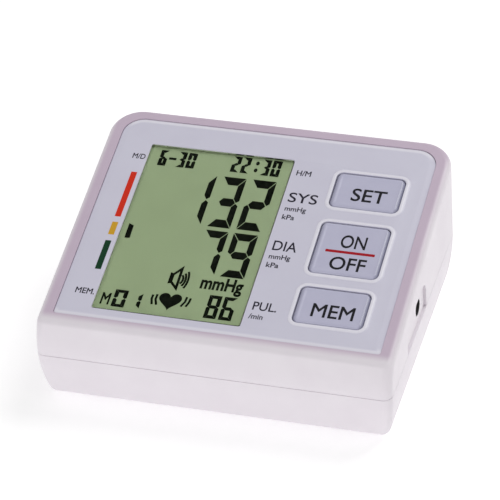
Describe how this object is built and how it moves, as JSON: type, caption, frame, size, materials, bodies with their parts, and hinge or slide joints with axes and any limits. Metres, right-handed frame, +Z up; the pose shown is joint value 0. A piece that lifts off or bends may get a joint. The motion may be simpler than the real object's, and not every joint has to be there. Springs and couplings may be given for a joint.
{
  "type": "desktop blood pressure monitor",
  "caption": "Wedge-shaped desktop blood pressure monitor with a tall display on its sloping top and a column of press keys beside it.",
  "frame": {"origin": "floor level, under the middle of the case box", "axes": "+X to the right of the person reading the display, -Y towards that person, +Z up"},
  "size_m": [0.1338, 0.1114, 0.0556],
  "materials": {
    "case_shell": "fine satin moulded ABS, pinkish white",
    "panel_plate": "satin lavender-grey inlay",
    "window": "clear polished acrylic",
    "display_glass": "display glass with polariser, grey-green",
    "reflector": "grey-green reflector film",
    "key_cap": "translucent bluish grey, polished",
    "inner_plastic": "natural moulded nylon",
    "dark_plastic": "black moulded plastic",
    "rubber_part": "soft moulded rubber",
    "silicone": "translucent silicone",
    "board_laminate": "green solder mask on glass-epoxy",
    "chip_epoxy": "black epoxy package",
    "screw_steel": "zinc plated",
    "motor_steel": "nickel plated drawn steel",
    "contact_metal": "nickel plated spring strip",
    "copper_wire": "enamelled copper winding",
    "brass_pin": "bright brass",
    "ferrite": "dark ferrite",
    "can_aluminium": "drawn can",
    "cell_jacket": "plain cell jacket"
  },
  "bodies": {
    "housing": {"air_manifold": "inner_plastic", "battery_1": "cell_jacket", "battery_2": "cell_jacket", "battery_3": "cell_jacket", "battery_4": "cell_jacket", "battery_contacts": "contact_metal", "board_screws": "screw_steel", "bottom_case": "case_shell", "buzzer": "dark_plastic", "capacitors": "can_aluminium", "case_screws": "screw_steel", "controller_chip": "chip_epoxy", "display_connectors": "silicone", "display_front_glass": "display_glass", "display_holder": "inner_plastic", "display_lens": "window", "display_rear_glass": "display_glass", "display_reflector": "reflector", "front_panel": "panel_plate", "hose_socket": "inner_plastic", "hose_tube": "silicone", "main_board": "board_laminate", "power_jack": "dark_plastic", "power_jack_pin": "brass_pin", "pressure_sensor": "chip_epoxy", "pump_crank_housing": "inner_plastic", "pump_diaphragm": "rubber_part", "pump_magnets": "ferrite", "pump_motor_can": "motor_steel", "pump_motor_cap": "dark_plastic", "pump_mounts": "rubber_part", "pump_rocker": "dark_plastic", "pump_tube": "silicone", "pump_valve_cover": "inner_plastic", "rubber_feet": "rubber_part", "sensor_tube": "silicone", "small_chips": "chip_epoxy", "switch_bodies": "dark_plastic", "top_case": "case_shell", "valve_coil": "copper_wire", "valve_core": "motor_steel", "valve_seat": "inner_plastic", "valve_spring": "screw_steel", "valve_tube": "silicone", "valve_yoke": "motor_steel"},
    "set_button": {"set_key": "key_cap", "set_switch_plunger": "inner_plastic"},
    "power_button": {"power_key": "key_cap", "power_switch_plunger": "inner_plastic"},
    "memory_button": {"memory_key": "key_cap", "memory_switch_plunger": "inner_plastic"},
    "cover": {"battery_cover": "case_shell"},
    "pump_rotor": {"pump_shaft": "screw_steel", "pump_armature": "copper_wire", "pump_commutator": "brass_pin", "pump_crank": "inner_plastic"},
    "valve_slider": {"valve_plunger": "motor_steel", "valve_seal": "rubber_part"}
  },
  "joints": [
    {"name": "set_press", "type": "slide", "parent": "housing", "child": "set_button", "axis": [0, 0.1959, -0.9806], "range_m": [0, 0.0008], "stiffness_N_per_m": 1500, "springref_m": -0.0004},
    {"name": "power_press", "type": "slide", "parent": "housing", "child": "power_button", "axis": [0, 0.1959, -0.9806], "range_m": [0, 0.0008], "stiffness_N_per_m": 1500, "springref_m": -0.0004},
    {"name": "memory_press", "type": "slide", "parent": "housing", "child": "memory_button", "axis": [0, 0.1959, -0.9806], "range_m": [0, 0.0008], "stiffness_N_per_m": 1500, "springref_m": -0.0004},
    {"name": "cover_slide", "type": "slide", "parent": "housing", "child": "cover", "axis": [0, 1, 0], "range_m": [0, 0.066]},
    {"name": "pump_spin", "type": "hinge", "parent": "housing", "child": "pump_rotor", "pos_m": [-0.043, 0.015, 0.0159], "axis": [0, 1, 0], "continuous": true},
    {"name": "valve_lift", "type": "slide", "parent": "housing", "child": "valve_slider", "axis": [0, 0, 1], "range_m": [0, 0.0008], "stiffness_N_per_m": 200, "springref_m": -0.001, "deforming": ["valve_spring"]}
  ]
}
